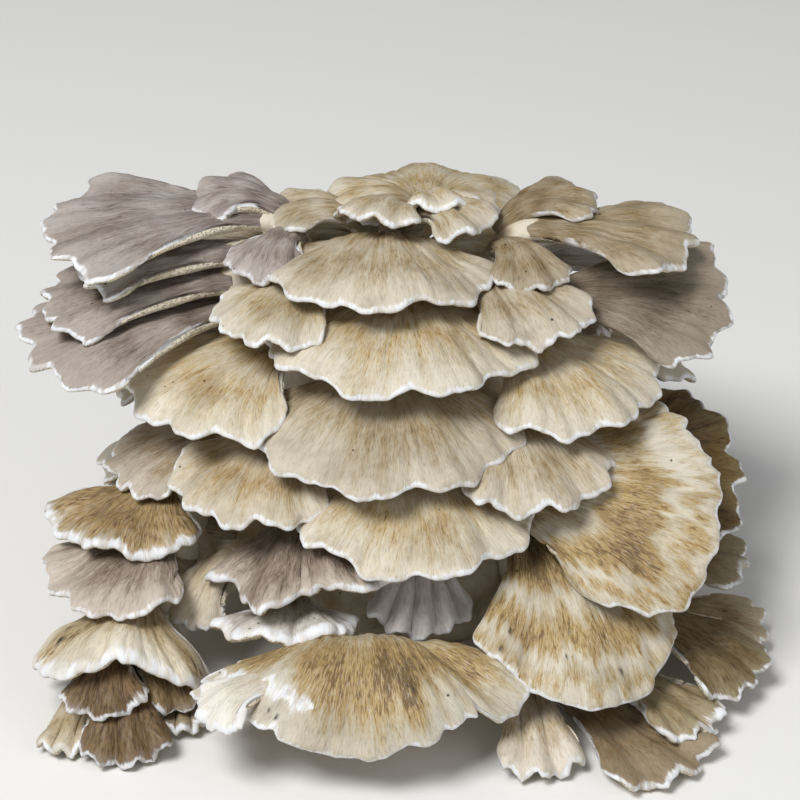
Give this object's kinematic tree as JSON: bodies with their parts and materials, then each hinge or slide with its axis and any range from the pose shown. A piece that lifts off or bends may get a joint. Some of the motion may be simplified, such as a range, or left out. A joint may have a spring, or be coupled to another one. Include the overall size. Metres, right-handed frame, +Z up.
{
  "type": "maitake mushroom cluster",
  "caption": "Wild maitake mushroom cluster: overlapping fan-shaped fronds with pale wavy margins on branching limbs over one stout base stem.",
  "frame": {"origin": "centre of the flat cut under the base stem", "axes": "+Z up, away from the cut; +X to the cluster's right as seen from the front, along its longest side; -Y towards the front"},
  "size_m": [0.3085, 0.2909, 0.1663],
  "materials": {
    "ochre_frond": "matte felted flesh, ochre brown with darker radial streaks and a white margin",
    "tan_frond": "matte felted flesh, tan with paler rings and a white margin",
    "grey_frond": "matte felted flesh, grey tan with cream streaks and a white margin",
    "cream_frond": "matte felted flesh, cream with faint tan streaks",
    "limb_flesh": "matte firm flesh, off-white",
    "stem_flesh": "matte firm flesh, off-white, freshly cut underneath"
  },
  "bodies": {
    "root": {"base_stem": "stem_flesh", "frond_back_foot_1": "cream_frond", "frond_back_foot_2": "cream_frond", "frond_back_low_1": "ochre_frond", "frond_back_low_2": "grey_frond", "frond_back_low_3": "tan_frond", "frond_back_low_4": "ochre_frond", "frond_back_middle_1": "tan_frond", "frond_back_middle_2": "ochre_frond", "frond_back_middle_3": "tan_frond", "frond_back_top_1": "ochre_frond", "frond_back_top_2": "tan_frond", "frond_back_top_3": "grey_frond", "frond_centre_folded": "cream_frond", "frond_centre_left": "cream_frond", "frond_centre_shelf": "grey_frond", "frond_centre_wavy": "ochre_frond", "frond_crown_1": "ochre_frond", "frond_crown_2": "ochre_frond", "frond_crown_3": "tan_frond", "frond_crown_4": "tan_frond", "frond_crown_5": "ochre_frond", "frond_crown_6": "ochre_frond", "frond_crown_7": "ochre_frond", "frond_crown_8": "tan_frond", "frond_crown_9": "ochre_frond", "frond_crown_left": "ochre_frond", "frond_crown_right": "tan_frond", "frond_front_arch": "ochre_frond", "frond_front_small": "tan_frond", "frond_left_arch": "cream_frond", "frond_left_foot": "ochre_frond", "frond_left_foot_inner": "ochre_frond", "frond_left_foot_outer": "cream_frond", "frond_left_lower": "grey_frond", "frond_left_middle": "ochre_frond", "frond_left_small": "tan_frond", "frond_lower_right_1": "tan_frond", "frond_lower_right_2": "tan_frond", "frond_lower_right_3": "tan_frond", "frond_lower_right_4": "cream_frond", "frond_lower_right_5": "cream_frond", "frond_right_fan_behind": "ochre_frond", "frond_right_fan_lower": "ochre_frond", "frond_right_fan_upper": "tan_frond", "frond_side_left": "tan_frond", "frond_side_right": "tan_frond", "frond_upper_left_1": "tan_frond", "frond_upper_left_2": "cream_frond", "frond_upper_left_3": "grey_frond", "frond_upper_left_4": "grey_frond", "frond_upper_right_1": "tan_frond", "frond_upper_right_2": "grey_frond", "limb_back": "limb_flesh", "limb_crown": "limb_flesh", "limb_front": "limb_flesh", "limb_left": "limb_flesh", "limb_right": "limb_flesh", "limb_upper_left": "limb_flesh", "limb_upper_right": "limb_flesh"}
  },
  "joints": []
}
